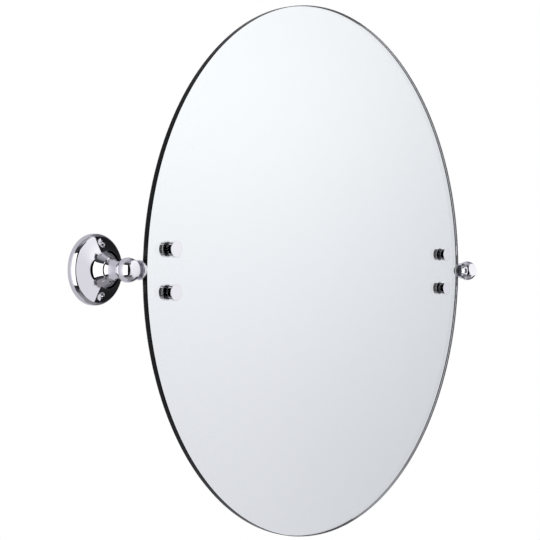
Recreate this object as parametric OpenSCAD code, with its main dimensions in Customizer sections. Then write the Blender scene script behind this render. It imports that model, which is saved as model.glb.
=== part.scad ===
// Round pivot wall mirror: a frameless silvered glass hung between two turned wall brackets.
//
// Frame: origin on the wall plane, at the height of the pivot axis, midway between the brackets.
// +X runs along the pivot axis to the right, +Y goes into the wall and +Z is up.
// The right-hand hardware is drawn and mirrored for the left.

/* [Mirror glass] */
// Diameter of the round glass
mirror_d = 500; // [360:10:700]
// Thickness of the glass
glass_t = 5; // [4:0.5:8]
// Width of the polished arris round both edges of the glass
arris = 0.5; // [0.2:0.1:1]
// Thickness of the silver coating
silver_t = 0.1; // [0.05:0.05:0.3]
// Thickness of the safety film stuck over the silver
film_t = 0.2; // [0.1:0.1:0.6]
// The glass centre hangs this far below the pivot axis
hang = 0.5; // [0:0.1:3]

/* [Clamping knobs] */
// Knob centres, measured in from the edge of the glass
knob_inset = 31.8; // [24:0.2:60]
// Spacing of the two knobs on each side
knob_pitch = 36; // [28:1:60]
// Diameter of a knob
knob_d = 14; // [11:0.5:18]
// Height of a knob's head above its washer flange
knob_h = 4; // [2.5:0.5:8]
// Chamfer round the front of a knob
knob_chamfer = 0.3; // [0.1:0.1:0.6]
// Diameter of a knob's threaded stud
knob_stud_d = 4; // [3:0.5:5]
// Hole in the glass for a knob's sleeve
glass_hole_d = 8; // [7:0.5:10]
// Thickness of the sleeve's flange under a knob
sleeve_flange_t = 0.4; // [0.3:0.1:0.8]
// Rim of the knob left standing over the sleeve's flange
flange_inset = 1; // [0.5:0.25:1.5]

/* [Back plates] */
// Thickness of a back plate
plate_t = 3; // [2:0.5:5]
// Width of a plate's upright bar
plate_w = 18; // [14:1:24]
// Width of the tongue that reaches past the glass edge
tongue_w = 12; // [8:1:13]
// Fillet between bar and tongue
plate_fillet = 6; // [2:1:8]
// Thickness of the rubber pad between a plate and the glass
pad_t = 0.7; // [0.5:0.1:2]
// Margin of the plate left bare round the pad
pad_margin = 1; // [0.5:0.5:2]
// Gap between the glass edge and the pivot lug
edge_gap = 4; // [2:0.5:10]
// Diameter of the pivot lug
lug_d = 13.2; // [11:0.2:15]
// Length of the pivot lug along the axis
lug_t = 3.4; // [2.5:0.2:6]
// Edge chamfer on the lug
lug_chamfer = 0.3; // [0.1:0.1:0.5]

/* [Pivot spigots] */
// Pivot axis behind the front of the glass
axis_in = 1.5; // [0:0.5:4]
// Diameter of the spigot's journal
journal_d = 6; // [5:0.5:7]
// Length of the journal
journal_len = 7.3; // [5:0.1:8]
// Diameter of the stud that is peened into the lug
peg_d = 6; // [4:0.5:7]
// Diameter of the spigot's bead
bead_d = 16.6; // [15:0.2:20]
// Width of the bead
bead_t = 1.6; // [1:0.2:3]
// Diameter of the first step behind the bead
step_a_d = 14.4; // [12.5:0.2:15]
// Width of the first step
step_a_t = 1.2; // [0.6:0.2:2]
// Diameter of the second step
step_b_d = 11.6; // [9:0.2:12.4]
// Width of the second step
step_b_t = 0.9; // [0.5:0.1:1.5]
// End float between the spigot and the bush
end_float = 0.3; // [0.2:0.1:0.6]
// Wall of the nylon bush
bush_wall = 0.95; // [0.7:0.05:1.5]
// Thickness of the bush's flange
bush_flange_t = 0.8; // [0.5:0.1:1.2]
// Diameter of the bush's flange
bush_flange_d = 9.4; // [9.2:0.2:11]
// Diameter of the tension screw under the ball
tension_d = 4; // [3:0.5:5]
// Tension screw's hexagon socket across its corners
tension_socket = 2.3; // [1.7:0.1:2.3]

/* [Bracket posts] */
// Pivot axis out from the wall
axis_out = 39; // [36:1:80]
// Diameter of the ball
ball_d = 20.3; // [19:0.1:26]
// Front flat of the ball, measured from its centre
ball_flat = 7.6; // [6.5:0.1:8.6]
// The flat is tipped up by this many degrees
flat_tip = 10; // [0:1:14]
// The flat is turned towards the mirror by this many degrees
flat_turn = 7; // [0:1:10]
// Radius of the spot face that seats the bush on the ball
seat_r = 5; // [4.8:0.1:5.6]
// Diameter of the neck behind the ball
neck_d = 14.2; // [11:0.2:15]
// Diameter of the post's foot, where it carries on the flare of the rose
foot_d = 30.4; // [28:0.2:32]
// Slope of the flare at that foot, in degrees to the wall
foot_slope = 38; // [34:1:44]
// Diameter of the bell where its side is steepest
hip_d = 26; // [22:0.2:27]
// Rise from the foot to that steepest place
hip_rise = 3.6; // [3:0.1:6]
// Slope of the side there
hip_slope = 68; // [55:1:80]
// Diameter of the bell's lip, where its round side meets the hollow cove
bell_lip_d = 20.6; // [17:0.2:21.4]
// Rise from the steepest place to the lip
lip_rise = 3.5; // [3:0.1:6]
// Slope of the round side as it reaches the lip
lip_slope = 42; // [38:1:48]
// Slope of the cove as it leaves the lip
cove_slope = 36; // [30:1:40]

/* [Wall roses] */
// Diameter of the rose
rose_d = 59; // [54:0.5:80]
// Straight part of the rose's side
rim_side = 3; // [1:0.5:6]
// Radial width of the rounded rim, up to the crease
rim_in = 2.5; // [1.5:0.1:4]
// Rise of the rounded rim
rim_rise = 4.5; // [3:0.1:7]
// Slope of the rim as it reaches the crease
rim_slope = 41; // [35:1:55]
// Slope of the dished cone as it leaves the crease
cone_slope = 21; // [16:1:24]
// Diameter where the cone starts to flare up to the post
flare_d = 33.2; // [32.4:0.2:36]
// Rise of the cone from the crease to there
cone_rise = 4.8; // [4:0.1:6]
// Slope of the cone there
flare_slope = 27; // [24:1:32]
// Rise of the flare to the post's seat
flare_rise = 1.3; // [1:0.1:2]
// Wall of the hollow rose
rose_wall = 3; // [2.5:0.25:3.5]
// Diameter of the hub behind the post
hub_d = 19; // [15:0.5:22]
// Spacing of the two wall screws
screw_pitch = 44; // [42:0.5:45]
// Diameter of the pillar round each wall screw
pillar_d = 10.4; // [9:0.2:12]

/* [Fasteners] */
// Thread diameter of a wall screw, which is what stands out behind the rose
screw_thread_d = 4.5; // [4:0.25:5]
// Plain shank diameter of a wall screw
screw_shank_d = 4; // [3.5:0.25:4.5]
// Clearance hole in the rose for a wall screw
screw_hole_d = 5; // [5:0.25:6]
// Head diameter of a wall screw
screw_head_d = 7.6; // [7:0.2:8.6]
// Depth of the screw heads' rim below the crown of the rose
head_drop = 4.55; // [3.8:0.05:5.2]
// Rise of a wall screw's domed head
head_dome = 1; // [0.6:0.1:1.5]
// Length of wall screw behind the wall plane
screw_reach = 32; // [20:1:50]
// Length of a wall screw's point
screw_point = 5; // [3:0.5:8]
// Width of the cross recess
recess_w = 0.9; // [0.6:0.1:1.2]
// Length of the cross recess
recess_len = 4.2; // [3:0.2:5]
// Depth of the cross recess
recess_deep = 1.6; // [1:0.1:2]
// Diameter of the bolt that holds a post on its rose
bolt_d = 5; // [4:0.5:6]
// Head diameter of the post bolt
bolt_head_d = 9.6; // [8:0.2:11]
// The bolt's head sits this far below the back of the rose
bolt_sink = 0.4; // [0.2:0.1:1]
// Bolt's hexagon socket across its corners
bolt_socket = 3.5; // [2.5:0.1:3.5]
// Depth of the bolt's thread in the post
bolt_bite = 10; // [7:0.5:10]

/* [Clearances] */
// Radial clearance of the journal in its bush
run_gap = 0.05; // [0.02:0.01:0.1]
// Radial clearance of threads, sleeves and bushes in their holes
fit_gap = 0.05; // [0.02:0.01:0.1]

/* [Hidden] */
$fn = 96;
// Steps round the doubly curved pieces
round_fn = 60;
// Steps along a curved profile
profile_steps = 14;
// Overlap of cutters past the faces they cut
over = 1;

// Distances out from the wall
front_out = axis_out + axis_in;
glass_out = front_out - glass_t;
silver_out = glass_out - silver_t;
film_out = silver_out - film_t;
pad_out = film_out - pad_t;
plate_out = pad_out - plate_t;

// Stations along the pivot axis, out from the middle
edge_x = mirror_d / 2;
knob_x = edge_x - knob_inset;
lug_x = edge_x + edge_gap;
bead_x = lug_x + lug_t;
step_a_x = bead_x + bead_t;
step_b_x = step_a_x + step_a_t;
spigot_x = step_b_x + step_b_t;
bush_x = spigot_x + end_float;
seat_x = bush_x + bush_flange_t;
ball_r = ball_d / 2;
ball_x = seat_x + sqrt(ball_r * ball_r - seat_r * seat_r);

// Pivot radii
journal_r = journal_d / 2;
bush_bore_r = journal_r + run_gap;
bush_r = bush_bore_r + bush_wall;
bush_len = journal_len + 0.6;
ball_bore_r = bush_r + fit_gap;
tension_x = seat_x + journal_len * 0.55;

// Sleeve radii
knob_stud_r = knob_stud_d / 2;
sleeve_r = glass_hole_d / 2 - fit_gap;
sleeve_bore_r = knob_stud_r + fit_gap;

// Turned profile of the rose, as radius and distance from the wall
rose_r = rose_d / 2;
crease_r = rose_r - rim_in;
crease_out = rim_side + rim_rise;
flare_r = flare_d / 2;
flare_out = crease_out + cone_rise;
foot_r = foot_d / 2;
crown_out = flare_out + flare_rise;
hub_r = hub_d / 2;

// Turned profile of the post, as radius and distance from the wall
hip_r = hip_d / 2;
hip_out = crown_out + hip_rise;
lip_r = bell_lip_d / 2;
lip_out = hip_out + lip_rise;
neck_r = neck_d / 2;
neck_out = axis_out - sqrt(ball_r * ball_r - neck_r * neck_r) - 0.4;
bolt_r = bolt_d / 2;
bolt_head_r = bolt_head_d / 2;
bolt_end = crown_out + bolt_bite;

// Wall screws
head_out = crown_out - head_drop;
head_r = screw_head_d / 2;
shank_r = screw_shank_d / 2;

chrome = [0.80, 0.81, 0.84];
steel = [0.62, 0.63, 0.65];

// ---------------------------------------------------------------- helpers

// A step of a profile that runs out of the wall and inwards, at a slope to the wall
function step(slope, length) = [-cos(slope), sin(slope)] * length;

// Points along a smooth curve from a to b with a given slope at each end
function flow(a, a_slope, b, b_slope, steps = profile_steps) =
    let (
        reach = norm(b - a) / 3,
        a_to = a + step(a_slope, reach),
        b_from = b - step(b_slope, reach)
    ) [
        for (i = [0:steps])
            let (t = i / steps, u = 1 - t)
            a * (u * u * u) + a_to * (3 * u * u * t) + b_from * (3 * u * t * t) + b * (t * t * t)
    ];

// Draws for the right-hand side as it is, and mirrored for the left
module on_side(side) {
    if (side > 0) children();
    else mirror([1, 0, 0]) children();
}

// Stands a shape that rises along +Z out of the wall instead, at a distance from it
module out_of_wall(distance = 0) {
    translate([0, -distance, 0]) rotate([90, 0, 0]) children();
}

// Turns a shape that rises along +Z to point outwards along the pivot axis
module along_axis(x) {
    translate([x, -axis_out, 0]) rotate([0, 90, 0]) children();
}

// The two wall screw places of one rose
module at_screws() {
    for (s = [-1, 1]) translate([ball_x, 0, s * screw_pitch / 2]) children();
}

// The two knob places of one side, which hang with the glass
module at_knobs() {
    for (s = [-1, 1]) translate([knob_x, 0, s * knob_pitch / 2 - hang]) children();
}

// A disc with both edges chamfered
module chamfered_disc(r, h, c) {
    rotate_extrude()
        polygon([[0, 0], [r - c, 0], [r, c], [r, h - c], [r - c, h], [0, h]]);
}

// A hexagon key socket with its round foot, cut down from z = 0
module key_socket(corners, depth) {
    translate([0, 0, -depth]) cylinder(d = corners, h = depth + over, $fn = 6);
}

// ---------------------------------------------------------------- wall roses

// Outside of the rose: rounded rim, crease, dished cone and the flare up to the post
module rose_body() {
    crease = [crease_r, crease_out];
    flare = [flare_r, flare_out];
    rotate_extrude() polygon(concat(
        [[0, 0], [rose_r - 0.5, 0], [rose_r, 0.5]],
        flow([rose_r, rim_side], 90, crease, rim_slope),
        flow(crease + step(cone_slope, 0.1), cone_slope, flare, flare_slope),
        flow(flare + step(flare_slope, 0.1), flare_slope, [foot_r, crown_out], foot_slope),
        [[0, crown_out]]
    ));
}

// The hollow behind the rose, which leaves the hub standing
module rose_hollow() {
    inner_r = rose_r - rose_wall;
    rotate_extrude() polygon([
        [hub_r, -over],
        [hub_r, crown_out - rose_wall],
        [foot_r, crown_out - rose_wall],
        [crease_r - rose_wall / 2, crease_out - rose_wall],
        [inner_r, rim_side],
        [inner_r, -over],
    ]);
}

module rose(side) {
    color(chrome) on_side(side) difference() {
        translate([ball_x, 0, 0]) out_of_wall() rose_body();
        difference() {
            translate([ball_x, 0, 0]) out_of_wall() rose_hollow();
            at_screws() out_of_wall(-over) cylinder(d = pillar_d, h = crown_out + 2 * over);
        }
        at_screws() out_of_wall() {
            translate([0, 0, -over]) cylinder(d = screw_hole_d, h = crown_out + 2 * over);
            translate([0, 0, head_out - head_r])
                cylinder(r1 = 0, r2 = head_r + fit_gap, h = head_r + fit_gap);
            translate([0, 0, head_out + fit_gap])
                cylinder(r = head_r + fit_gap, h = crown_out);
        }
        translate([ball_x, 0, 0]) out_of_wall() {
            translate([0, 0, -over]) cylinder(r = bolt_r + 2 * fit_gap, h = crown_out + 2 * over);
            translate([0, 0, bolt_sink])
                cylinder(r1 = bolt_head_r + fit_gap, r2 = 0, h = bolt_head_r + fit_gap);
            translate([0, 0, -over])
                cylinder(r = bolt_head_r + fit_gap, h = bolt_sink + over);
        }
    }
}

// ---------------------------------------------------------------- bracket posts

// Flared foot, bell with a round side, lip, hollow cove and neck
module post_turning() {
    foot = [foot_r, crown_out];
    hip = [hip_r, hip_out];
    lip = [lip_r, lip_out];
    rotate_extrude($fn = round_fn) polygon(concat(
        [[0, crown_out]],
        flow(foot, foot_slope, hip, hip_slope),
        flow(hip + step(hip_slope, 0.1), hip_slope, lip, lip_slope),
        flow(lip + step(cove_slope, 0.1), cove_slope, [neck_r, neck_out], 90),
        [[neck_r, axis_out], [0, axis_out]]
    ));
}

// Ball with its front flat, which is tipped up and turned towards the mirror
module ball() {
    translate([0, 0, axis_out]) rotate([-flat_tip, -flat_turn, 0]) rotate_extrude($fn = round_fn)
        intersection() {
            circle(r = ball_r);
            translate([0, -ball_r]) square([ball_r, ball_r + ball_flat]);
        }
}

module post(side) {
    color(chrome) on_side(side) difference() {
        translate([ball_x, 0, 0]) out_of_wall() union() {
            post_turning();
            ball();
        }
        translate([ball_x, 0, 0]) out_of_wall(crown_out - over)
            cylinder(r = bolt_r + fit_gap, h = bolt_bite + 1.5 + over);
        along_axis(seat_x - ball_r) cylinder(r = ball_r, h = ball_r);
        along_axis(seat_x - over) cylinder(r = ball_bore_r, h = bush_len + 0.4 + over);
        translate([tension_x, -axis_out, -ball_d])
            cylinder(d = tension_d + 2 * fit_gap, h = ball_d);
    }
}

// Countersunk bolt from behind the rose into the post
module post_bolt(side) {
    color(steel) on_side(side) translate([ball_x, 0, 0]) out_of_wall() difference() {
        union() {
            translate([0, 0, bolt_sink]) cylinder(r1 = bolt_head_r, r2 = 0, h = bolt_head_r);
            translate([0, 0, bolt_sink]) cylinder(r = bolt_r, h = bolt_end - bolt_sink);
        }
        translate([0, 0, bolt_sink]) mirror([0, 0, 1]) key_socket(bolt_socket, 2.2);
    }
}

// ---------------------------------------------------------------- wall screws

module wall_screw() {
    difference() {
        union() {
            translate([0, 0, head_out - head_r]) cylinder(r1 = 0, r2 = head_r, h = head_r);
            translate([0, 0, head_out]) intersection() {
                translate([0, 0, head_dome - dome_r()]) sphere(r = dome_r());
                cylinder(r = head_r, h = head_dome + over);
            }
            cylinder(r = shank_r, h = head_out);
            translate([0, 0, screw_point - screw_reach])
                cylinder(d = screw_thread_d, h = screw_reach - screw_point);
            translate([0, 0, -screw_reach])
                cylinder(d1 = 0.6, d2 = screw_thread_d, h = screw_point);
        }
        for (a = [0, 90]) rotate([0, 0, a])
            translate([-recess_len / 2, -recess_w / 2, head_out + head_dome - recess_deep])
                cube([recess_len, recess_w, recess_deep + over]);
    }
}

// Radius of the sphere that a screw's domed head is cut from
function dome_r() = (head_r * head_r + head_dome * head_dome) / (2 * head_dome);

module wall_screws(side) {
    color(chrome) on_side(side) at_screws() out_of_wall() wall_screw();
}

// ---------------------------------------------------------------- pivots

// Flanged nylon bush in the ball
module ball_bush(side) {
    color([0.90, 0.90, 0.87]) on_side(side) along_axis(bush_x) difference() {
        union() {
            cylinder(d = bush_flange_d, h = bush_flange_t);
            cylinder(r = bush_r, h = bush_flange_t + bush_len);
        }
        translate([0, 0, -over]) cylinder(r = bush_bore_r, h = bush_flange_t + bush_len + 2 * over);
    }
}

// Grub screw under the ball that presses on the bush and sets how stiffly the mirror tilts
module tension_screw(side) {
    reach = sqrt(ball_r * ball_r - pow(ball_x - tension_x, 2)) - 0.6;
    color(steel) on_side(side) translate([tension_x, -axis_out, -bush_r - fit_gap]) difference() {
        mirror([0, 0, 1]) cylinder(d = tension_d, h = reach - bush_r - fit_gap);
        translate([0, 0, bush_r + fit_gap - reach]) mirror([0, 0, 1])
            key_socket(tension_socket, 2);
    }
}

// Turned spigot: peg in the lug, bead, two steps and the journal that turns in the bush
module pivot_spigot(side) {
    bead_r = bead_d / 2;
    bead_edge = bead_t / 4;
    color(chrome) on_side(side) along_axis(lug_x) rotate_extrude() polygon([
        [0, 0],
        [peg_d / 2, 0],
        [peg_d / 2, lug_t],
        [bead_r - bead_edge, lug_t],
        [bead_r, lug_t + bead_edge],
        [bead_r, lug_t + bead_t - bead_edge],
        [bead_r - bead_edge, lug_t + bead_t],
        [step_a_d / 2, lug_t + bead_t],
        [step_a_d / 2, step_b_x - lug_x],
        [step_b_d / 2, step_b_x - lug_x],
        [step_b_d / 2, spigot_x - lug_x],
        [journal_r, spigot_x - lug_x],
        [journal_r, seat_x - lug_x + journal_len - 0.4],
        [journal_r - 0.4, seat_x - lug_x + journal_len],
        [0, seat_x - lug_x + journal_len],
    ]);
}

// ---------------------------------------------------------------- back plates

// Outline of a plate behind the glass: upright bar with round ends, tongue and fillets
module plate_outline(margin = 0) {
    r = plate_w / 2 - margin;
    half_tongue = tongue_w / 2 - margin;
    for (s = [-1, 1]) translate([knob_x, s * knob_pitch / 2 - hang]) circle(r = r);
    translate([knob_x - r, -knob_pitch / 2 - hang]) square([2 * r, knob_pitch]);
    translate([knob_x, -half_tongue]) square([edge_x - arris - margin - knob_x, 2 * half_tongue]);
    for (s = [-1, 1]) difference() {
        translate([knob_x + r - over, s > 0 ? half_tongue - over : -half_tongue - plate_fillet])
            square([plate_fillet + over, plate_fillet + over]);
        translate([knob_x + r + plate_fillet, s * (half_tongue + plate_fillet)])
            circle(r = plate_fillet);
    }
}

module back_plate(side) {
    color(chrome) on_side(side) difference() {
        union() {
            out_of_wall(plate_out) linear_extrude(plate_t) {
                plate_outline();
                translate([edge_x - over - arris, -tongue_w / 2])
                    square([bead_x - edge_x + over + arris, tongue_w]);
            }
            along_axis(lug_x) chamfered_disc(lug_d / 2, lug_t, lug_chamfer);
            translate([lug_x, -axis_out, -tongue_w / 2 + lug_chamfer])
                cube([lug_t, axis_out - plate_out, tongue_w - 2 * lug_chamfer]);
        }
        along_axis(lug_x - over) cylinder(d = peg_d + 2 * fit_gap, h = lug_t + 2 * over);
        at_knobs() out_of_wall(plate_out - over)
            cylinder(r = knob_stud_r + fit_gap, h = plate_t + 2 * over);
    }
}

// Rubber pad between a plate and the back of the glass
module plate_pad(side) {
    color([0.12, 0.12, 0.13]) on_side(side) difference() {
        out_of_wall(pad_out) linear_extrude(pad_t) plate_outline(pad_margin);
        at_knobs() out_of_wall(pad_out - over)
            cylinder(r = knob_stud_r + 2 * fit_gap, h = pad_t + 2 * over);
    }
}

// ---------------------------------------------------------------- knobs

// Head and threaded stud in one, through the glass into the plate
module knobs(side) {
    color(chrome) on_side(side) at_knobs() {
        out_of_wall(front_out + sleeve_flange_t) rotate_extrude() polygon([
            [0, 0],
            [knob_d / 2, 0],
            [knob_d / 2, knob_h - knob_chamfer],
            [knob_d / 2 - knob_chamfer, knob_h],
            [0, knob_h],
        ]);
        out_of_wall(plate_out + 0.2)
            cylinder(r = knob_stud_r, h = front_out + sleeve_flange_t - plate_out);
    }
}

// Flanged nylon sleeves that keep the knobs off the glass
module knob_sleeves(side) {
    color([0.92, 0.92, 0.90]) on_side(side) at_knobs() difference() {
        union() {
            out_of_wall(front_out)
                cylinder(r = knob_d / 2 - flange_inset, h = sleeve_flange_t);
            out_of_wall(film_out) cylinder(r = sleeve_r, h = front_out - film_out + sleeve_flange_t);
        }
        out_of_wall(film_out - over)
            cylinder(r = sleeve_bore_r, h = front_out - film_out + sleeve_flange_t + 2 * over);
    }
}

// ---------------------------------------------------------------- mirror

// Holes through the glass and its coatings for the four sleeves
module sleeve_holes() {
    for (side = [-1, 1]) on_side(side) at_knobs()
        out_of_wall(film_out - over) cylinder(d = glass_hole_d, h = glass_t + 3 * over);
}

module mirror_glass() {
    color([0.78, 0.88, 0.86, 0.45]) difference() {
        translate([0, 0, -hang]) out_of_wall(glass_out)
            chamfered_disc(mirror_d / 2, glass_t, arris);
        sleeve_holes();
    }
}

// A thin disc on the back of the glass, inside its arris
module coat(distance, thickness, inset) {
    difference() {
        translate([0, 0, -hang]) out_of_wall(distance)
            cylinder(r = mirror_d / 2 - inset, h = thickness);
        sleeve_holes();
    }
}

module silver_coat() {
    color([0.86, 0.88, 0.90]) coat(silver_out, silver_t, arris);
}

module safety_film() {
    color([0.20, 0.21, 0.23]) coat(film_out, film_t, arris);
}

// ---------------------------------------------------------------- nodes

rose(-1);  // rose_left
rose(1);  // rose_right
post(-1);  // post_left
post(1);  // post_right
post_bolt(-1);  // post_bolt_left
post_bolt(1);  // post_bolt_right
wall_screws(-1);  // wall_screws_left
wall_screws(1);  // wall_screws_right
ball_bush(-1);  // ball_bush_left
ball_bush(1);  // ball_bush_right
tension_screw(-1);  // tension_screw_left
tension_screw(1);  // tension_screw_right
pivot_spigot(-1);  // pivot_spigot_left
pivot_spigot(1);  // pivot_spigot_right
back_plate(-1);  // back_plate_left
back_plate(1);  // back_plate_right
plate_pad(-1);  // plate_pad_left
plate_pad(1);  // plate_pad_right
knobs(-1);  // knobs_left
knobs(1);  // knobs_right
knob_sleeves(-1);  // knob_sleeves_left
knob_sleeves(1);  // knob_sleeves_right
mirror_glass();
silver_coat();
safety_film();
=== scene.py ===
"""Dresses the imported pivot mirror: polished turned brackets, clamping knobs and a silvered glass.

Everything is in metres in the row frame: the origin is on the wall plane at the height of the
pivot axis, +X runs along that axis, +Y goes into the wall and +Z is up. Shapes are worked out in
millimetres. Pieces that come in a left and a right one are built for the right and mirrored.
"""

import math

import bmesh
import bpy
import numpy as np
from mathutils import Matrix, Vector


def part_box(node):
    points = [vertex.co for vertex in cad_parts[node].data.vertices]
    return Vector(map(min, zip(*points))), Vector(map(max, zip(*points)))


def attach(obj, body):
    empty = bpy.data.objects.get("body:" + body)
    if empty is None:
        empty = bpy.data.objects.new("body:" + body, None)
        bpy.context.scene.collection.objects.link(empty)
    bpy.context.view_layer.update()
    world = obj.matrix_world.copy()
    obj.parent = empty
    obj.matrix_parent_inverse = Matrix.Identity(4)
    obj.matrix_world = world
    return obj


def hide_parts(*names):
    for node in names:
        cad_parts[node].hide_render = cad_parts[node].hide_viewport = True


MM = 0.001
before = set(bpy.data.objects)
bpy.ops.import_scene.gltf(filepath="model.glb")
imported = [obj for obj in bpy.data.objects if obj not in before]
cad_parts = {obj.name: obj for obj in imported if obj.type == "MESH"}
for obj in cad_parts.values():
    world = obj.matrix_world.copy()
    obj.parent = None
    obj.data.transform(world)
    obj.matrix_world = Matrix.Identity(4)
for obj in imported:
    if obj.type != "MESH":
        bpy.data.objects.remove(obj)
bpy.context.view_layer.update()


# ---------------------------------------------------------------- sizes, in mm and degrees

def box_mm(node):
    """Lowest and highest corner of a CAD node in millimetres."""
    low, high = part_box(node)
    return low / MM, high / MM


rose_low, rose_high = box_mm("rose_right")
spigot_low, spigot_high = box_mm("pivot_spigot_right")
knob_low, knob_high = box_mm("knobs_right")
glass_low, glass_high = box_mm("mirror_glass")
screw_low, screw_high = box_mm("wall_screws_right")

# Places, as distances out of the wall and along the pivot axis
BALL_X = (rose_low.x + rose_high.x) / 2
AXIS_OUT = -(spigot_low.y + spigot_high.y) / 2
CROWN_OUT = -rose_low.y
FRONT_OUT = -glass_low.y
GLASS_BACK_OUT = -glass_high.y
SILVER_BACK_OUT = -box_mm("silver_coat")[1].y
FILM_BACK_OUT = -box_mm("safety_film")[1].y
PLATE_OUT = -box_mm("back_plate_right")[1].y
LUG_X = spigot_low.x
SEAT_X = 262.2
TENSION_X = 266.215

# Radial room between a piece and its hole, and how far a cutter reaches past what it cuts
SLIP = 0.05
PAST = 1.0

# Glass and its coatings
MIRROR_R = glass_high.x
MIRROR_Z = (glass_low.z + glass_high.z) / 2
ARRIS = 0.5
COAT_R = MIRROR_R - ARRIS
GLASS_HOLE_R = 4.0
RIM_STEPS = 1440
SILVER_BITE = 0.02  # the silver's face lies this far inside the glass, so that no air shows

# Knobs
KNOB_R = 7.0
KNOB_X = knob_high.x - KNOB_R
KNOB_PITCH = knob_high.z - knob_low.z - 2 * KNOB_R
KNOB_Z = [s * KNOB_PITCH / 2 + MIRROR_Z for s in (-1, 1)]
KNOB_OUT = -knob_low.y
KNOB_H = 4.0
STUD_R = 2.0
STUD_CORE_R = 0.84 * STUD_R
STUD_PITCH = 0.7
STUD_END = -knob_high.y

# Wall screws. The recess has a height over the dome's top, a half length and a half width.
SCREW_HEAD_R = 3.8
SCREW_PITCH = screw_high.z - screw_low.z - 2 * SCREW_HEAD_R
SCREW_Z = [s * SCREW_PITCH / 2 for s in (-1, 1)]
SCREW_HOLE_R = 2.5
SCREW_DOME = 1.0
HEAD_OUT = -screw_low.y - SCREW_DOME
SHANK_R = 2.0
SHANK_END = -1.0
THREAD_R = 2.25
THREAD_CORE_R = 1.45
THREAD_PITCH = 1.8
SCREW_REACH = screw_high.y
SCREW_POINT = 5.0
RECESS_FLOOR = (-1.7, 0.735, 0.225)
RECESS_MOUTH = (0.3, 2.268, 0.45)
RECESS_TURN = 12

# Post bolt
BOLT_HOLE_R = 2.6
BOLT_HEAD_R = 4.85
BOLT_SINK = 0.4
BOLT_DEPTH = 11.5

# Wall rose, with the slopes of its outline to the wall
ROSE_R = (rose_high.x - rose_low.x) / 2
RIM_SIDE = 3.0
RIM_SLOPE = 41
CREASE_R = ROSE_R - 2.5
CREASE_OUT = RIM_SIDE + 4.5
CREASE_SLOPE = 20
FLARE_R = 16.0
FLARE_OUT = CREASE_OUT + 4.85
FLARE_SLOPE = 35
ROSE_WALL = 3.0
HUB_R = 9.5
PILLAR_R = 5.2

# Bracket post, with the slopes of its outline to the wall
FOOT_R = 14.5
FOOT_SLOPE = 44
HIP_R = 12.4
HIP_OUT = CROWN_OUT + 3.1
HIP_SLOPE = 60
LIP_R = 10.2
LIP_OUT = HIP_OUT + 4.0
LIP_SLOPE = 58
LIP_EDGE = 0.12
COVE_SLOPE = 36
NECK_R = 7.1
NECK_LAP = 3.0
BALL_R = 10.15
BALL_FLAT = 7.6
FLAT_DOME = 0.12
FLAT_EDGE = 0.3
FLAT_TIP = math.radians(10)
FLAT_TURN = math.radians(7)
NECK_OUT = AXIS_OUT - math.sqrt(BALL_R**2 - NECK_R**2) - 0.4
FACING = 15.0
BUSH_HOLE_R = 4.05
BUSH_DEPTH = 8.3
TENSION_R = 2.0
TENSION_DROP = 20.0

# Pivot spigot and lug
LUG_R = 6.6
LUG_T = 3.4
LUG_CONE = 0.75
LUG_LAND = 0.4
PEG_R = 3.0
BEAD_R = (spigot_high.z - spigot_low.z) / 2
BEAD_T = 1.6
BEAD_FILLET = 0.44 * BEAD_T
STEP_A_R, STEP_A_T = 7.2, 1.2
STEP_B_R, STEP_B_T = 5.8, 0.9
JOURNAL_R = 3.0

# Back plate
PLATE_T = 3.0
PLATE_W = 18.0
PLATE_FILLET = 6.0
TONGUE_W = 12.0
TONGUE_LAP = 0.6
WEB_INSET = 0.3
WEB_LAP = 0.4


# ---------------------------------------------------------------- profiles and meshes

def arc(centre, radii, start, end, turn=4.0):
    """Points on an elliptical arc from one angle to another, in degrees."""
    steps = max(2, math.ceil(abs(end - start) / turn))
    return [
        (centre[0] + radii[0] * math.cos(a), centre[1] + radii[1] * math.sin(a))
        for a in np.radians(np.linspace(start, end, steps + 1))
    ]


def flow(a, a_slope, b, b_slope, steps=24):
    """Points along a smooth curve from a to b with a given slope to the wall at each end.

    It is the cubic Bezier curve whose handles are a third as long as the line from a to b.
    """
    a, b = np.array(a, float), np.array(b, float)
    reach = np.linalg.norm(b - a) / 3
    slopes = math.radians(a_slope), math.radians(b_slope)
    leave, arrive = (np.array([-math.cos(s), math.sin(s)]) * reach for s in slopes)
    return [
        tuple(
            a * (1 - t) ** 3 + (a + leave) * 3 * (1 - t) ** 2 * t
            + (b - arrive) * 3 * (1 - t) * t**2 + b * t**3
        )
        for t in np.linspace(0, 1, steps + 1)
    ]


def rounded(corners, turn=9.0):
    """A profile from corners (radius, height, fillet); a corner with no fillet stays as it is."""
    points = []
    rows = [(c[0], c[1], c[2] if len(c) > 2 else 0.0) for c in corners]
    for i, (r, z, fillet) in enumerate(rows):
        here = np.array([r, z])
        if not fillet or i in (0, len(rows) - 1):
            points.append(here)
            continue
        back = np.array(rows[i - 1][:2]) - here
        on = np.array(rows[i + 1][:2]) - here
        back, on = back / np.linalg.norm(back), on / np.linalg.norm(on)
        half = math.acos(np.clip(back @ on, -1, 1)) / 2
        cut = fillet / math.tan(half)
        middle = (back + on) / np.linalg.norm(back + on)
        centre = here + middle * fillet / math.sin(half)
        first, last = here + back * cut - centre, here + on * cut - centre
        a0, a1 = math.atan2(first[1], first[0]), math.atan2(last[1], last[0])
        sweep = (a1 - a0 + math.pi) % (2 * math.pi) - math.pi
        steps = max(2, math.ceil(math.degrees(abs(sweep)) / turn))
        for a in a0 + sweep * np.arange(steps + 1) / steps:
            points.append(centre + fillet * np.array([math.cos(a), math.sin(a)]))
    return with_support(points)


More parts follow.
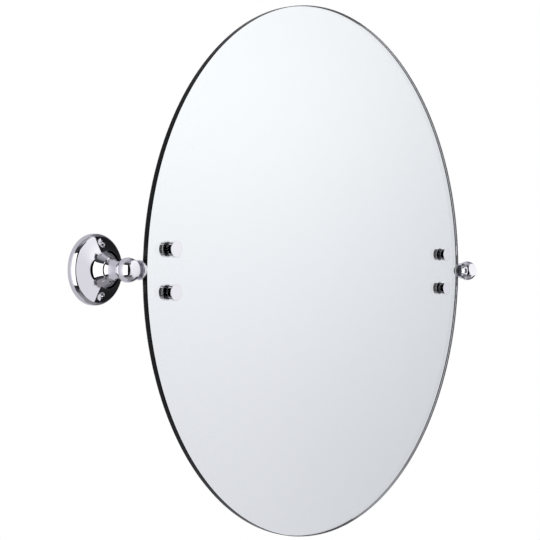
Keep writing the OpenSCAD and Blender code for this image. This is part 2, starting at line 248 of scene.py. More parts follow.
def with_support(points, ratio=4.0):
    """Adds a point near each end of a long straight, so that shading stays flat along it."""
    points = [np.array(p, float) for p in points]
    lengths = [np.linalg.norm(q - p) for p, q in zip(points, points[1:])]
    out = [points[0]]
    for i, length in enumerate(lengths):
        p, q = points[i], points[i + 1]
        before = lengths[i - 1] if i else length
        after = lengths[i + 1] if i + 1 < len(lengths) else length
        if length > ratio * before:
            out.append(p + (q - p) * before / length)
        if length > ratio * after:
            out.append(q - (q - p) * after / length)
        out.append(q)
    return out


def turned(profile, steps=192, closed=False):
    """Revolves a profile of (radius, height) points, listed going up its outside, about +Z.

    The point at row i and column k is (r_i cos a_k, r_i sin a_k, z_i), with a_k = 360 k / steps
    degrees. A row on the axis is a single point, and its quads become triangles.
    """
    profile = np.maximum(np.array(profile, float), [0.0, -np.inf])
    angles = np.linspace(0, 2 * math.pi, steps, endpoint=False)
    radius, height = profile[:, :1], profile[:, 1:]
    grid = np.stack([radius * np.cos(angles), radius * np.sin(angles), height + 0 * angles], -1)
    index = np.arange(grid.shape[0] * steps).reshape(-1, steps)
    on_axis = profile[:, 0] < 1e-9
    index[on_axis] = index[on_axis, :1]
    low, high = (index, np.roll(index, -1, axis=0)) if closed else (index[:-1], index[1:])
    quads = np.stack([low, np.roll(low, -1, axis=1), np.roll(high, -1, axis=1), high], -1)
    quads = quads[~(np.all(low == low[:, :1], axis=1) & np.all(high == high[:, :1], axis=1))]
    used, places = np.unique(quads, return_inverse=True)
    rows = places.reshape(-1, 4).tolist()
    faces = [tuple(dict.fromkeys(row)) for row in rows]
    return grid.reshape(-1, 3)[used], faces


def threaded(core_r, crest_r, pitch, low, high, point=0.0, land=0.12, flank=0.26, steps=48):
    """A helical thread round +Z from low to high, with an optional tapered point at the low end.

    The radius at height z and angle a is the core's plus the ridge's. The ridge stands where
    z / pitch - a / 360 is near a half: it is full within land of it and gone flank further on,
    both as shares of the pitch, and it dies out over the last pitch. Along the point the radius
    is multiplied by the share of the point passed, to the power 0.8 and no less than 0.02.
    """
    rows = math.ceil((high - low) / (pitch / 10))
    heights = np.linspace(low, high, rows + 1)
    angles = np.linspace(0, 2 * math.pi, steps, endpoint=False)
    z, a = np.meshgrid(heights, angles, indexing="ij")
    phase = (z / pitch - a / (2 * math.pi)) % 1.0
    ridge = np.clip((land + flank - np.abs(phase - 0.5)) / flank, 0, 1)
    fade = np.clip((high - z) / pitch, 0, 1)
    taper = np.clip((z - low) / point, 0, 1) ** 0.8 if point else np.ones_like(z)
    radius = (core_r + (crest_r - core_r) * ridge * fade) * np.maximum(taper, 0.02)
    verts = np.stack([radius * np.cos(a), radius * np.sin(a), z], -1).reshape(-1, 3)
    index = np.arange((rows + 1) * steps).reshape(-1, steps)
    onward = np.roll(index, -1, axis=1)
    quads = np.stack([index[:-1], onward[:-1], onward[1:], index[1:]], -1)
    faces = [tuple(quad) for quad in quads.reshape(-1, 4).tolist()]
    faces.append(tuple(reversed(range(steps))))
    faces.append(tuple(range(rows * steps, (rows + 1) * steps)))
    return verts, faces


def out_of_wall(verts, x=0.0, z=0.0):
    """Turns what rises along +Z to rise out of the wall at (x, z)."""
    return np.stack([verts[:, 0] + x, -verts[:, 2], verts[:, 1] + z], -1)


def along_axis(verts, x=0.0):
    """Turns what rises along +Z to run outwards along the pivot axis from x."""
    return np.stack([verts[:, 2] + x, verts[:, 1] - AXIS_OUT, -verts[:, 0]], -1)


def mesh_object(name, verts, faces, side=1):
    """A smooth-shaded object from millimetre points, mirrored in X for the left side."""
    points = np.array(verts, float) * MM
    if side < 0:
        points[:, 0] *= -1
        faces = [tuple(reversed(f)) for f in faces]
    mesh = bpy.data.meshes.new(name)
    mesh.from_pydata(points.tolist(), [], [tuple(f) for f in faces])
    mesh.validate()
    obj = bpy.data.objects.new(name, mesh)
    bpy.context.scene.collection.objects.link(obj)
    shade(obj)
    return obj


def shade(obj, sharp=32.0):
    """Smooth shading, with edges sharp where the faces turn by more than an angle in degrees."""
    obj.data.polygons.foreach_set("use_smooth", [True] * len(obj.data.polygons))
    obj.data.set_sharp_from_angle(angle=math.radians(sharp))
    obj.data.update()


def combine(obj, cutters, operation="DIFFERENCE"):
    """Cuts other objects out of one, or joins them to it, and removes them."""
    for cutter in cutters:
        modifier = obj.modifiers.new("combine", "BOOLEAN")
        modifier.operation = operation
        modifier.solver = "EXACT"
        modifier.object = cutter
    graph = bpy.context.evaluated_depsgraph_get()
    made = bpy.data.meshes.new_from_object(obj.evaluated_get(graph))
    obj.modifiers.clear()
    old, obj.data = obj.data, made
    bpy.data.meshes.remove(old)
    for cutter in cutters:
        data = cutter.data
        bpy.data.objects.remove(cutter)
        bpy.data.meshes.remove(data)
    shade(obj)
    return obj


def joined(name, parts):
    """Joins several mesh objects into one."""
    mesh = bmesh.new()
    for part in parts:
        mesh.from_mesh(part.data)
    data = bpy.data.meshes.new(name)
    mesh.to_mesh(data)
    mesh.free()
    for part in parts:
        old = part.data
        bpy.data.objects.remove(part)
        bpy.data.meshes.remove(old)
    obj = bpy.data.objects.new(name, data)
    bpy.context.scene.collection.objects.link(obj)
    shade(obj)
    return obj


def standing(name, profile, steps, side=1, x=0.0, z=0.0, closed=False):
    """A turned piece that stands out of the wall at (x, z)."""
    verts, faces = turned(profile, steps, closed)
    return mesh_object(name, out_of_wall(verts, x, z), faces, side)


def lying(name, profile, steps, side, x=0.0, closed=False):
    """A turned piece that runs outwards along the pivot axis from x."""
    verts, faces = turned(profile, steps, closed)
    return mesh_object(name, along_axis(verts, x), faces, side)


def rod(radius, low, high, side, x, z=0.0, steps=64):
    """A plain rod that stands out of the wall at (x, z) from one distance to another."""
    profile = [(0, low), (radius, low), (radius, high), (0, high)]
    return standing("rod", profile, steps, side, x, z)


# ---------------------------------------------------------------- nodes and materials

NOISE_LOW, NOISE_HIGH = 0.3, 0.7  # a noise seldom leaves this range


def new_material(name, **inputs):
    """A Principled material with the given socket values, its node tree and its shader."""
    material = bpy.data.materials.new(name)
    material.use_nodes = True
    shader = material.node_tree.nodes["Principled BSDF"]
    for key, value in inputs.items():
        shader.inputs[key.replace("_", " ")].default_value = value
    return material, material.node_tree, shader


def calculated(tree, operation, *values):
    """The result of a Math node, each input of which is a number or another node's output."""
    node = tree.nodes.new("ShaderNodeMath")
    node.operation = operation
    for socket, value in zip(node.inputs, values):
        if isinstance(value, float):
            socket.default_value = value
        else:
            tree.links.new(value, socket)
    return node.outputs["Value"]


def mapped(tree, value, start, end, low=0.0, high=1.0, kind="LINEAR"):
    """A result that goes from low to high while a value goes from start to end."""
    node = tree.nodes.new("ShaderNodeMapRange")
    node.interpolation_type = kind
    node.inputs["From Min"].default_value = start
    node.inputs["From Max"].default_value = end
    node.inputs["To Min"].default_value = low
    node.inputs["To Max"].default_value = high
    tree.links.new(value, node.inputs["Value"])
    return node.outputs["Result"]


def object_x(tree):
    """The X of a point in object space, in metres."""
    place = tree.nodes.new("ShaderNodeTexCoord")
    parts = tree.nodes.new("ShaderNodeSeparateXYZ")
    tree.links.new(place.outputs["Object"], parts.inputs["Vector"])
    return parts.outputs["X"]


def noise(tree, scale, detail=3.0, stretch=(1, 1, 1)):
    """A noise in object space, in cells per metre."""
    place = tree.nodes.new("ShaderNodeTexCoord")
    mapping = tree.nodes.new("ShaderNodeMapping")
    mapping.inputs["Scale"].default_value = stretch
    texture = tree.nodes.new("ShaderNodeTexNoise")
    texture.inputs["Scale"].default_value = scale
    texture.inputs["Detail"].default_value = detail
    tree.links.new(place.outputs["Object"], mapping.inputs["Vector"])
    tree.links.new(mapping.outputs["Vector"], texture.inputs["Vector"])
    return texture.outputs["Fac"]


def ranged(tree, source, low, high, sink):
    """Feeds a noise into a socket as a range of values."""
    tree.links.new(mapped(tree, source, NOISE_LOW, NOISE_HIGH, low, high), sink)


def tinted(tree, source, dark, light, sink, start=NOISE_LOW, end=NOISE_HIGH):
    """Feeds an output into a colour socket as a blend of two colours."""
    ramp = tree.nodes.new("ShaderNodeValToRGB")
    ramp.color_ramp.elements[0].position = start
    ramp.color_ramp.elements[1].position = end
    ramp.color_ramp.elements[0].color = (*dark, 1)
    ramp.color_ramp.elements[1].color = (*light, 1)
    tree.links.new(source, ramp.inputs["Fac"])
    tree.links.new(ramp.outputs["Color"], sink)


def bumped(tree, source, shader, distance, strength=1.0):
    """Feeds a height in metres into the shader's normal."""
    bump = tree.nodes.new("ShaderNodeBump")
    bump.inputs["Strength"].default_value = strength
    bump.inputs["Distance"].default_value = distance
    tree.links.new(source, bump.inputs["Height"])
    tree.links.new(bump.outputs["Normal"], shader.inputs["Normal"])


def chrome_material(name, tint, roughness):
    """Bright chrome plate with the faint haze and colour drift of hand polishing."""
    material, tree, shader = new_material(name, Metallic=1.0)
    haze = noise(tree, 90.0, 4.0)
    ranged(tree, haze, roughness, roughness * 1.8, shader.inputs["Roughness"])
    drift = noise(tree, 35.0, 2.0)
    cool = tuple(c * 0.985 for c in tint)
    tinted(tree, drift, cool, tint, shader.inputs["Base Color"])
    return material


def spigot_material(name, tint, roughness, dull, dull_roughness):
    """Chrome whose steps between bead and ball keep a duller, blasted finish."""
    material, tree, shader = new_material(name, Metallic=1.0)
    outwards = calculated(tree, "ABSOLUTE", object_x(tree))
    edge = (LUG_X + LUG_T + BEAD_T) * MM
    dulled = mapped(tree, outwards, edge - 0.1 * MM, edge + 0.1 * MM)
    tinted(tree, dulled, tint, dull, shader.inputs["Base Color"], 0.0, 1.0)
    haze = mapped(tree, dulled, 0.0, 1.0, roughness, dull_roughness)
    grain = noise(tree, 900.0)
    rough = calculated(tree, "MULTIPLY_ADD", grain, 0.05, haze)
    tree.links.new(rough, shader.inputs["Roughness"])
    return material


def steel_material():
    """Zinc-plated steel with fine turning marks."""
    material, tree, shader = new_material("plated_steel", Metallic=1.0)
    marks = noise(tree, 700.0, 5.0, (1, 6, 1))
    tinted(tree, marks, (0.50, 0.51, 0.53), (0.66, 0.67, 0.69), shader.inputs["Base Color"])
    ranged(tree, marks, 0.22, 0.42, shader.inputs["Roughness"])
    bumped(tree, marks, shader, 0.00003)
    return material


def nylon_material():
    """Natural nylon, faintly mottled and soft in its shine."""
    material, tree, shader = new_material(
        "nylon", Subsurface_Weight=0.15, Subsurface_Radius=(0.002, 0.0018, 0.0014)
    )
    mottle = noise(tree, 300.0)
    tinted(tree, mottle, (0.78, 0.78, 0.73), (0.88, 0.88, 0.85), shader.inputs["Base Color"])
    ranged(tree, mottle, 0.38, 0.5, shader.inputs["Roughness"])
    return material


def rubber_material():
    """Matt black rubber with a fine moulded grain."""
    material, tree, shader = new_material("rubber_pad")
    grain = noise(tree, 900.0, 4.0)
    tinted(tree, grain, (0.010, 0.010, 0.011), (0.022, 0.022, 0.024), shader.inputs["Base Color"])
    ranged(tree, grain, 0.6, 0.8, shader.inputs["Roughness"])
    bumped(tree, grain, shader, 0.00008)
    return material


def film_material():
    """Dark safety film, lightly pebbled, with slow shifts of tone where it was rolled on. Its
    near-black colour and weak shine are partly the film's own and partly painted shade, for the
    shade between the mirror's back and the wall.
    """
    # partly painted shade: the near-black base colour and low specular level stand in for the
    # shaded gap behind the mirror
    material, tree, shader = new_material("dark_film", Specular_IOR_Level=0.12)
    sweep = noise(tree, 5.0, 2.0, (1, 1, 0.25))
    tinted(tree, sweep, (0.005, 0.005, 0.006), (0.009, 0.009, 0.011), shader.inputs["Base Color"])
    pebble = noise(tree, 1400.0, 2.0)
    ranged(tree, pebble, 0.44, 0.56, shader.inputs["Roughness"])
    bumped(tree, pebble, shader, 0.00002, 0.6)
    return material


def silver_material():
    """The silver behind the glass."""
    material, tree, shader = new_material("silvering", Metallic=1.0, Roughness=0.0)
    drift = noise(tree, 3.0, 1.0)
    tinted(tree, drift, (0.955, 0.965, 0.968), (0.965, 0.972, 0.975), shader.inputs["Base Color"])
    return material


def glass_material():
    """Clear float glass; its green shows only where it is deep."""
    material, tree, _ = new_material(
        "clear_glass",
        Transmission_Weight=1.0, IOR=1.52, Roughness=0.0, Base_Color=(0.995, 1.0, 0.998, 1.0),
    )
    depth = tree.nodes.new("ShaderNodeVolumeAbsorption")
    depth.inputs["Color"].default_value = (0.10, 0.35, 0.30, 1.0)
    depth.inputs["Density"].default_value = 8.0
    tree.links.new(depth.outputs["Volume"], tree.nodes["Material Output"].inputs["Volume"])
    return material


def seal_material():
    """Lacquer on the edge of the glass and in its holes, with painted shade and light: painted dark
    on the left and lighter grey on the right.
    """
    material, tree, shader = new_material("edge_seal", Roughness=0.08, Specular_IOR_Level=0.18)
    # painted shade and light: the edge colour is ramped along X, dark on the left and lighter grey
    # on the right
    painted_side_shade = mapped(tree, object_x(tree), -0.05, 0.20)
    patchy = noise(tree, 22.0, 2.0)
    uneven = calculated(tree, "MULTIPLY_ADD", patchy, 0.04, painted_side_shade)
    tinted(tree, uneven, (0.003, 0.004, 0.004), (0.24, 0.25, 0.27), shader.inputs["Base Color"])
    return material


# ---------------------------------------------------------------- pieces

def finish_piece(obj, node, body, material):
    """Gives a built piece its finish and sets it in its CAD node's place."""
    obj.name = "dressed_" + node
    obj.data.materials.clear()
    obj.data.materials.append(material)
    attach(obj, body)
    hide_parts(node)


def rose(side):
    """Wall rose: rounded rim, dished cone that flares up to the post, seats and hollow back."""
    crease, flare = (CREASE_R, CREASE_OUT), (FLARE_R, FLARE_OUT)
    outside = rounded(
        [(0, 0), (ROSE_R, 0, 0.5)]
        + flow((ROSE_R, RIM_SIDE), 90, crease, RIM_SLOPE)
        + flow(crease, CREASE_SLOPE, flare, FLARE_SLOPE)[1:]
        + flow(flare, FLARE_SLOPE, (FOOT_R, CROWN_OUT), FOOT_SLOPE)[1:]
        + [(0, CROWN_OUT)]
    )
    inside = with_support(
        [
            (HUB_R, -PAST),
            (ROSE_R - ROSE_WALL, -PAST),
            (ROSE_R - ROSE_WALL, RIM_SIDE),
            (CREASE_R - ROSE_WALL / 2, CREASE_OUT - ROSE_WALL),
            (FOOT_R, CROWN_OUT - ROSE_WALL),
            (HUB_R, CROWN_OUT - ROSE_WALL),
        ]
    )
    seat = [
        (0, -PAST),
        (SCREW_HOLE_R, -PAST),
        (SCREW_HOLE_R, HEAD_OUT - SCREW_HEAD_R + SCREW_HOLE_R),
        (SCREW_HEAD_R + SLIP, HEAD_OUT + SLIP),
        (SCREW_HEAD_R + SLIP, CROWN_OUT + PAST),
        (0, CROWN_OUT + PAST),
    ]
    bolt = [
        (0, -PAST),
        (BOLT_HEAD_R, -PAST),
        (BOLT_HEAD_R, BOLT_SINK),
        (BOLT_HOLE_R, BOLT_SINK + BOLT_HEAD_R - BOLT_HOLE_R),
        (BOLT_HOLE_R, CROWN_OUT + PAST),
        (0, CROWN_OUT + PAST),
    ]
    body = standing("rose", outside, 240, side, BALL_X)
    hollow = standing("hollow", inside, 120, side, BALL_X, closed=True)
    pillar_end = CROWN_OUT + 3 * PAST
    combine(hollow, [rod(PILLAR_R, -3 * PAST, pillar_end, side, BALL_X, z) for z in SCREW_Z])
    seats = [standing("seat", seat, 64, side, BALL_X, z) for z in SCREW_Z]
    return combine(body, [hollow, *seats, standing("bolt", bolt, 64, side, BALL_X)])


def ball(side):
    """Ball whose flat front is tipped up and turned towards the mirror."""
    edge = math.degrees(math.asin(BALL_FLAT / BALL_R))
    front = arc((0, BALL_FLAT), (math.sqrt(BALL_R**2 - BALL_FLAT**2), FLAT_DOME), 0, 90, 9)
    back = arc((0, 0), (BALL_R, BALL_R), -90, edge, 3)
    verts, faces = turned(rounded(back[:-1] + [(*front[0], FLAT_EDGE)] + front[1:]), 216)
    turn = np.array(Matrix.Rotation(-FLAT_TURN, 3, "Y") @ Matrix.Rotation(-FLAT_TIP, 3, "X"))
    verts = verts @ turn.T + np.array([0, 0, AXIS_OUT])
    return mesh_object("ball", out_of_wall(verts, BALL_X), faces, side)


def post(side):
    """Post turned in one: flared foot, bell with its lip, cove, neck and ball, and its bores."""
    hip, lip = (HIP_R, HIP_OUT), (LIP_R, LIP_OUT)
    profile = rounded(
        [(0, CROWN_OUT)]
        + flow((FOOT_R, CROWN_OUT), FOOT_SLOPE, hip, HIP_SLOPE)
        + flow(hip, HIP_SLOPE, lip, LIP_SLOPE)[1:-1]
        + [(*lip, LIP_EDGE)]
        + flow(lip, COVE_SLOPE, (NECK_R, NECK_OUT), 90)[1:]
        + [(NECK_R, AXIS_OUT - NECK_LAP), (0, AXIS_OUT - NECK_LAP)]
    )
    seat = [
        (0, SEAT_X - FACING),
        (BALL_R + PAST, SEAT_X - FACING),
        (BALL_R + PAST, SEAT_X),
        (BUSH_HOLE_R, SEAT_X),
        (BUSH_HOLE_R, SEAT_X + BUSH_DEPTH),
        (0, SEAT_X + BUSH_DEPTH),
    ]
    hole_r = TENSION_R + SLIP
    verts, faces = turned([(0, -TENSION_DROP), (hole_r, -TENSION_DROP), (hole_r, 0), (0, 0)], 64)
    verts = verts + np.array([TENSION_X, -AXIS_OUT, 0])
    cutters = [
        rod(BOLT_HOLE_R - SLIP, CROWN_OUT - PAST, CROWN_OUT + BOLT_DEPTH, side, BALL_X),
        lying("seat", seat, 96, side),
        mesh_object("tension", verts, faces, side),
    ]
    body = standing("post", profile, 216, side, BALL_X)
    combine(body, [ball(side)], "UNION")
    return combine(body, cutters)


def spigot(side):
    """Turned spigot: peened peg, rounded bead, two steps and the journal."""
    end = spigot_high.x - LUG_X
    bead_end = LUG_T + BEAD_T
    step_a_end = bead_end + STEP_A_T
    step_b_end = step_a_end + STEP_B_T
    profile = rounded(
        [
            (0, 0),
            (PEG_R, 0, 0.15),
            (PEG_R, LUG_T, 0.1),
            (BEAD_R, LUG_T, BEAD_FILLET),
            (BEAD_R, bead_end, BEAD_FILLET),
            (STEP_A_R, bead_end, 0.15),
            (STEP_A_R, step_a_end, 0.3),
            (STEP_B_R, step_a_end, 0.15),
            (STEP_B_R, step_b_end, 0.25),
            (JOURNAL_R, step_b_end, 0.15),
            (JOURNAL_R, end, 0.4),
            (0, end),
        ]
    )
    return lying("spigot", profile, 160, side, LUG_X)


def plate_outline():
    """Corners of the back plate in (x, z): a bar with round ends and a filleted tongue."""
    r, t, f = PLATE_W / 2, TONGUE_W / 2, PLATE_FILLET
    bottom, top = KNOB_Z
    return (
        arc((KNOB_X, bottom), (r, r), 180, 360, 6)
        + arc((KNOB_X + r + f, -t - f), (f, f), 180, 90, 9)
        + [(COAT_R, -t), (COAT_R, t)]
        + arc((KNOB_X + r + f, t + f), (f, f), 270, 180, 9)
        + arc((KNOB_X, top), (r, r), 0, 180, 6)
    )


def slab(outline, low, high, side, chamfer=0.3):
    """An outline in (x, z) made a plate between two distances out of the wall, edges broken."""
    count = len(outline)
    verts = [(x, -low, z) for x, z in outline] + [(x, -high, z) for x, z in outline]
    faces = [tuple(range(count)), tuple(reversed(range(count, 2 * count)))]
    faces += [(k, k + count, (k + 1) % count + count, (k + 1) % count) for k in range(count)]
    obj = mesh_object("slab", verts, faces, side)
    work = bmesh.new()
    work.from_mesh(obj.data)
    bmesh.ops.recalc_face_normals(work, faces=work.faces)
    rims = [e for e in work.edges if abs(e.verts[0].co.y - e.verts[1].co.y) < 1e-7]
    bmesh.ops.bevel(
        work, geom=rims, offset=chamfer * MM, segments=1, affect="EDGES", clamp_overlap=True
    )
    work.to_mesh(obj.data)
    work.free()
    shade(obj)
    return obj


def back_plate(side):
    """Plate behind the glass with its tongue, web and round pivot lug."""
    front_out = PLATE_OUT + PLATE_T
    bar = slab(plate_outline(), PLATE_OUT, front_out, side)
    for z in KNOB_Z:
        hole = rod(STUD_R + SLIP, PLATE_OUT - PAST, front_out + PAST, side, KNOB_X, z)
        combine(bar, [hole])
    t = TONGUE_W / 2
    start, end = COAT_R - TONGUE_LAP, LUG_X + LUG_T
    tongue = slab([(start, -t), (end, -t), (end, t), (start, t)], PLATE_OUT, front_out, side)
    t -= WEB_INSET
    web_outline = [(LUG_X, -t), (end, -t), (end, t), (LUG_X, t)]
    web = slab(web_outline, front_out - WEB_LAP, AXIS_OUT, side, 0.1)
    hole_r = PEG_R + SLIP
    peg = [(0, -PAST), (hole_r, -PAST), (hole_r, LUG_T + PAST), (0, LUG_T + PAST)]
    combine(web, [lying("peg", peg, 96, side, LUG_X)])
    profile = rounded(
        [
            (hole_r, 0),
            (PEG_R + LUG_LAND, 0),
            (LUG_R, LUG_CONE, 0.5),
            (LUG_R, LUG_T, 0.35),
            (hole_r, LUG_T),
        ]
    )
    lug = lying("lug", profile, 160, side, LUG_X, closed=True)
    return joined("plate", [bar, tongue, web, lug])


def knobs(side):
    """Two plain round knobs, each in one with its threaded stud."""
    parts = []
    seat_out = KNOB_OUT - KNOB_H
    head = rounded(
        [(0, seat_out), (KNOB_R, seat_out, 0.25), (KNOB_R, KNOB_OUT, 0.32), (0, KNOB_OUT)]
    )
    verts, faces = threaded(
        STUD_CORE_R, STUD_R, STUD_PITCH, STUD_END, seat_out + STUD_PITCH, land=0.06
    )
    for z in KNOB_Z:
        parts.append(standing("head", head, 128, side, KNOB_X, z))
        parts.append(mesh_object("stud", out_of_wall(verts, KNOB_X, z), faces, side))
    return joined("knobs", parts)


def cross_arm(turn):
    """One arm of the cross recess: a blade that narrows as it goes down into the head."""
    c, s = math.cos(math.radians(turn)), math.sin(math.radians(turn))
    verts = [
        (c * x - s * y, s * x + c * y, HEAD_OUT + SCREW_DOME + height)
        for height, half, wide in (RECESS_FLOOR, RECESS_MOUTH)
        for x, y in ((-half, -wide), (half, -wide), (half, wide), (-half, wide))
    ]
    faces = [(3, 2, 1, 0), (4, 5, 6, 7), (0, 1, 5, 4), (1, 2, 6, 5), (2, 3, 7, 6), (3, 0, 4, 7)]
    return np.array(verts), faces


def wall_screws(side):
    """Two wood screws: domed countersunk head with a cross recess, plain shank and thread."""
    parts = []
    dome = (SCREW_HEAD_R**2 + SCREW_DOME**2) / (2 * SCREW_DOME)
    edge = math.degrees(math.asin(SCREW_HEAD_R / dome))
    profile = rounded(
        [
            (0, SHANK_END),
            (SHANK_R, SHANK_END),
            (SHANK_R, HEAD_OUT - SCREW_HEAD_R + SHANK_R, 0.4),
            (SCREW_HEAD_R, HEAD_OUT, 0.12),
        ]
        + arc((0, HEAD_OUT + SCREW_DOME - dome), (dome, dome), 90 - edge, 90, 3)[1:]
    )
    for s, z in zip((-1, 1), SCREW_Z):
        head = standing("head", profile, 72, side, BALL_X, z)
        for turn in (0, 90):
            verts, faces = cross_arm(turn + RECESS_TURN * s)
            combine(head, [mesh_object("arm", out_of_wall(verts, BALL_X, z), faces, side)])
        verts, faces = threaded(
            THREAD_CORE_R, THREAD_R, THREAD_PITCH, -SCREW_REACH, 0.0, point=SCREW_POINT
        )
        parts += [head, mesh_object("thread", out_of_wall(verts, BALL_X, z), faces, side)]
    return joined("screws", parts)


def disc(radius, low, high, chamfer=0.0):
    """A round plate of the mirror with its four holes and an optional arris on both edges."""
    corners = [(0, low), (radius, low), (radius, high), (0, high)]
    if chamfer:
        corners[1:3] = [
            (radius - chamfer, low),
            (radius, low + chamfer),
            (radius, high - chamfer),
            (radius - chamfer, high),
        ]
    holes = [
        rod(GLASS_HOLE_R, low - PAST, high + PAST, side, KNOB_X, z, 72)
        for side in (-1, 1)
        for z in KNOB_Z
    ]
    return combine(standing("disc", corners, RIM_STEPS, z=MIRROR_Z), holes)


def seal_edges(obj, square=0.2):
    """Lacquers the faces of the glass that stand square to its plane: its edge and its holes."""
    obj.data.materials.append(seal_material())
    normals = np.empty(3 * len(obj.data.polygons))
    obj.data.polygons.foreach_get("normal", normals)
    sealed = np.abs(normals[1::3]) < square
    obj.data.polygons.foreach_set("material_index", sealed.astype(int))
    obj.data.update()


# ---------------------------------------------------------------- build

CHROME = (0.86, 0.86, 0.89)
bracket_chrome = chrome_material("bracket_chrome", CHROME, 0.030)
fitting_chrome = chrome_material("fitting_chrome", CHROME, 0.030)
screw_chrome = chrome_material("screw_chrome", (0.78, 0.78, 0.81), 0.070)
spigot_chrome = spigot_material("spigot_chrome", CHROME, 0.02, (0.36, 0.35, 0.40), 0.20)

for side, word in ((1, "right"), (-1, "left")):
    finish_piece(rose(side), "rose_" + word, "wall_brackets", bracket_chrome)
    finish_piece(post(side), "post_" + word, "wall_brackets", bracket_chrome)
    screws = wall_screws(side)
    finish_piece(screws, "wall_screws_" + word, "wall_brackets", screw_chrome)
    finish_piece(spigot(side), "pivot_spigot_" + word, "mirror", spigot_chrome)
    finish_piece(back_plate(side), "back_plate_" + word, "mirror", fitting_chrome)
    finish_piece(knobs(side), "knobs_" + word, "mirror", fitting_chrome)

glass = disc(MIRROR_R, GLASS_BACK_OUT, FRONT_OUT, ARRIS)
finish_piece(glass, "mirror_glass", "mirror", glass_material())
seal_edges(glass)
silver = disc(COAT_R, SILVER_BACK_OUT, GLASS_BACK_OUT + SILVER_BITE)
finish_piece(silver, "silver_coat", "mirror", silver_material())
film = disc(COAT_R, FILM_BACK_OUT, SILVER_BACK_OUT)
finish_piece(film, "safety_film", "mirror", film_material())

steel, nylon, rubber = steel_material(), nylon_material(), rubber_material()
for word in ("left", "right"):
    for node, material in (
        ("post_bolt_", steel),
        ("tension_screw_", steel),
        ("ball_bush_", nylon),
        ("knob_sleeves_", rubber),
        ("plate_pad_", rubber),
    ):
        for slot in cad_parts[node + word].material_slots:
            slot.material = material


# ---------------------------------------------------------------- stage, light and camera

def stage_plane(name, corners, colour):
    """A flat wall or floor of plain emission that shows its front, to the camera alone."""
    mesh = bpy.data.meshes.new(name)
    mesh.from_pydata(corners, [], [tuple(range(len(corners)))])
    obj = bpy.data.objects.new(name, mesh)
    bpy.context.scene.collection.objects.link(obj)
    material = bpy.data.materials.new(name)
    material.use_nodes = True
    nodes, links = material.node_tree.nodes, material.node_tree.links
    nodes.clear()
    emission = nodes.new("ShaderNodeEmission")
    emission.inputs["Color"].default_value = (*colour, 1)
    emission.inputs["Strength"].default_value = 1.0
    clear = nodes.new("ShaderNodeBsdfTransparent")
    facing = nodes.new("ShaderNodeNewGeometry")
    mix = nodes.new("ShaderNodeMixShader")
    out = nodes.new("ShaderNodeOutputMaterial")
    links.new(facing.outputs["Backfacing"], mix.inputs["Fac"])
    links.new(emission.outputs["Emission"], mix.inputs[1])
    links.new(clear.outputs["BSDF"], mix.inputs[2])
    links.new(mix.outputs["Shader"], out.inputs["Surface"])
    mesh.materials.append(material)
    obj.visible_glossy = False
    obj.visible_diffuse = False
    obj.visible_transmission = False
    obj.visible_shadow = False


REACH = 4.0
WALL_Y = 0.0002
FLOOR_Z = -0.75
ACROSS = (-REACH, REACH, REACH, -REACH)
wall = [(x, WALL_Y, z) for x, z in zip(ACROSS, (-REACH, -REACH, REACH, REACH))]
floor = [(x, y, FLOOR_Z) for x, y in zip(ACROSS, (-REACH, -REACH, 0, 0))]
stage_plane("wall", wall, (1, 1, 1))
stage_plane("floor", floor, (0.93, 0.93, 0.94))


def between(tree, value, low, high, soft):
    """1 between two angles and 0 outside them, with a soft edge on each side, all in degrees."""
    sides = []
    for edge, before, after in ((low, 0.0, 1.0), (high, 1.0, 0.0)):
        start, end = math.radians(edge - soft), math.radians(edge + soft)
        sides.append(mapped(tree, value, start, end, before, after, "SMOOTHSTEP"))
    return calculated(tree, "MULTIPLY", *sides)


def studio(panels, colour):
    """A surround of soft panels, each laid over the ones before it.

    A panel is (azimuths, elevations, softness of its sides, of its top and bottom, colour).
    Azimuth 0 is straight out of the wall, 90 is to the right along it, and elevation 90 is
    overhead.
    """
    world = bpy.data.worlds.new("studio")
    bpy.context.scene.world = world
    world.use_nodes = True
    tree = world.node_tree
    place = tree.nodes.new("ShaderNodeTexCoord")
    parts = tree.nodes.new("ShaderNodeSeparateXYZ")
    tree.links.new(place.outputs["Generated"], parts.inputs["Vector"])
    front = calculated(tree, "MULTIPLY", parts.outputs["Y"], -1.0)
    azimuth = calculated(tree, "ARCTAN2", parts.outputs["X"], front)
    elevation = calculated(tree, "ARCSINE", parts.outputs["Z"])
    below = None
    for azimuths, elevations, soft_side, soft_end, panel_colour in panels:
        across = between(tree, azimuth, *azimuths, soft_side)
        upright = between(tree, elevation, *elevations, soft_end)
        mix = tree.nodes.new("ShaderNodeMix")
        mix.data_type = "RGBA"
        tree.links.new(calculated(tree, "MULTIPLY", across, upright), mix.inputs["Factor"])
        if below is None:
            mix.inputs[6].default_value = (*colour, 1)
        else:
            tree.links.new(below, mix.inputs[6])
        mix.inputs[7].default_value = (*panel_colour, 1)
        below = mix.outputs[2]
    tree.links.new(below, tree.nodes["Background"].inputs["Color"])
    tree.nodes["Background"].inputs["Strength"].default_value = 1.0


def softbox(name, place, aim, width, height, radiance):
    """A rectangular area light that shines from one point towards another."""
    light = bpy.data.lights.new(name, "AREA")
    light.shape = "RECTANGLE"
    light.size, light.size_y = width, height
    light.energy = radiance * math.pi * width * height
    obj = bpy.data.objects.new(name, light)
    bpy.context.scene.collection.objects.link(obj)
    obj.location = place
    obj.rotation_euler = (aim - place).to_track_quat("-Z", "Y").to_euler()
    obj.visible_camera = False


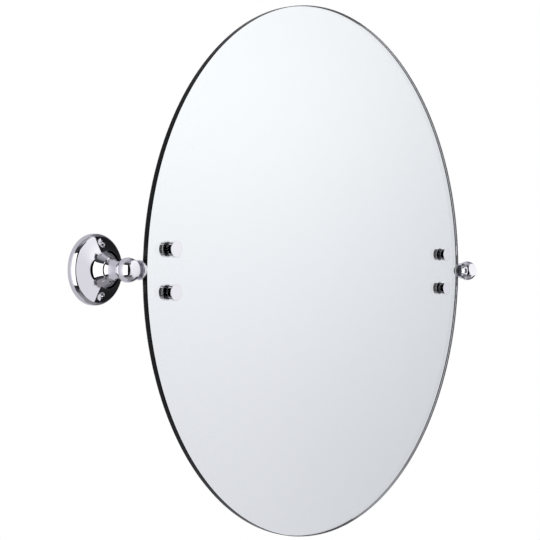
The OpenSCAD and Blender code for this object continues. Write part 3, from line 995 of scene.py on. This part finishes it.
WALLS = (0.55, 0.54, 0.59)
studio(
    [
        ((-112, 20), (-44, 48), 40, 6, (1.06, 1.05, 1.10)),  # pale wall, brighter to the left
        ((-118, 100), (68, 112), 6, 6, (0.25, 0.25, 0.28)),  # ceiling
        ((-220, 220), (80, 112), 6, 6, (0.36, 0.35, 0.38)),  # above the object
        ((-112, 140), (-112, -54), 8, 5, (0.28, 0.27, 0.29)),  # table
        ((-106, -24), (46, 69), 5, 5, (0.05, 0.05, 0.06)),  # dark above the screen
        ((-104, -34), (-66, -46), 5, 4, (0.05, 0.05, 0.06)),  # dark below it
        ((-88, -20), (-50, 50), 5, 4, (0.0, 0.0, 0.0)),  # black screen round the camera
        ((-24, 70), (-51, 63), 4, 4, (0.80, 0.79, 0.84)),  # bright side on the right
        ((-26, 70), (27, 63), 5, 20, (1.08, 1.07, 1.10)),  # and its brighter top
        ((57, 84), (-40, 50), 9, 10, (0.62, 0.62, 0.66)),  # fading away to the right
        ((30, 60), (0, 15), 11, 12, (1.15, 1.14, 1.16)),  # window in the bright side
        ((56, 74), (11, 46), 6, 4, (1.10, 1.09, 1.13)),  # second window beside it
        ((-28, 16), (46, 67), 6, 4, (0.05, 0.05, 0.06)),  # dark above the bright side
        ((-28, 12), (-66, -45), 6, 4, (0.10, 0.10, 0.11)),  # dark below it
        ((74, 124), (-54, 60), 10, 10, (0.15, 0.15, 0.17)),  # dim room behind the mirror
        ((78, 104), (-36, 34), 5, 6, (0.0, 0.0, 0.0)),  # and its darkest part
    ],
    WALLS,
)

# A softbox to the left of the left ball, in metres
BOX_AWAY = 0.6
BOX_RISE = 0.012
BOX_TURN = math.radians(-71)
BOX_W, BOX_H = 0.485, 1.2
BOX_RADIANCE = 1.35
box_aim = Vector((-BALL_X * MM, -AXIS_OUT * MM, BOX_RISE))
box_place = box_aim + Vector((math.sin(BOX_TURN), -math.cos(BOX_TURN), 0)) * BOX_AWAY
softbox("softbox", box_place, box_aim, BOX_W, BOX_H, BOX_RADIANCE)
bpy.context.scene.view_settings.view_transform = "Standard"

# The camera as fitted to the photograph's outline of the glass, knobs and brackets
PICTURE = 540
FOCAL_PX = 1480.8
TURN = math.radians(52.461)
ROLL = math.radians(0.489)
AXIS_PX = (270.56, 263.06)
DISTANCE = 1.3398
TARGET = Vector((-84.5 * MM, -FRONT_OUT * MM, 6.6 * MM))

forward = Vector((math.sin(TURN), math.cos(TURN), 0))
level = Vector((math.cos(TURN), -math.sin(TURN), 0))
right = level * math.cos(ROLL) + Vector((0, 0, math.sin(ROLL)))
up = right.cross(forward)
camera_data = bpy.data.cameras.new("camera")
camera_data.sensor_width = 36.0
camera_data.lens = FOCAL_PX / PICTURE * camera_data.sensor_width
camera_data.shift_x = (PICTURE / 2 - AXIS_PX[0]) / PICTURE
camera_data.shift_y = (AXIS_PX[1] - PICTURE / 2) / PICTURE
camera = bpy.data.objects.new("camera", camera_data)
bpy.context.scene.collection.objects.link(camera)
camera.matrix_world = Matrix.Translation(TARGET - forward * DISTANCE) @ Matrix(
    (right, up, -forward)
).transposed().to_4x4()
bpy.context.scene.camera = camera
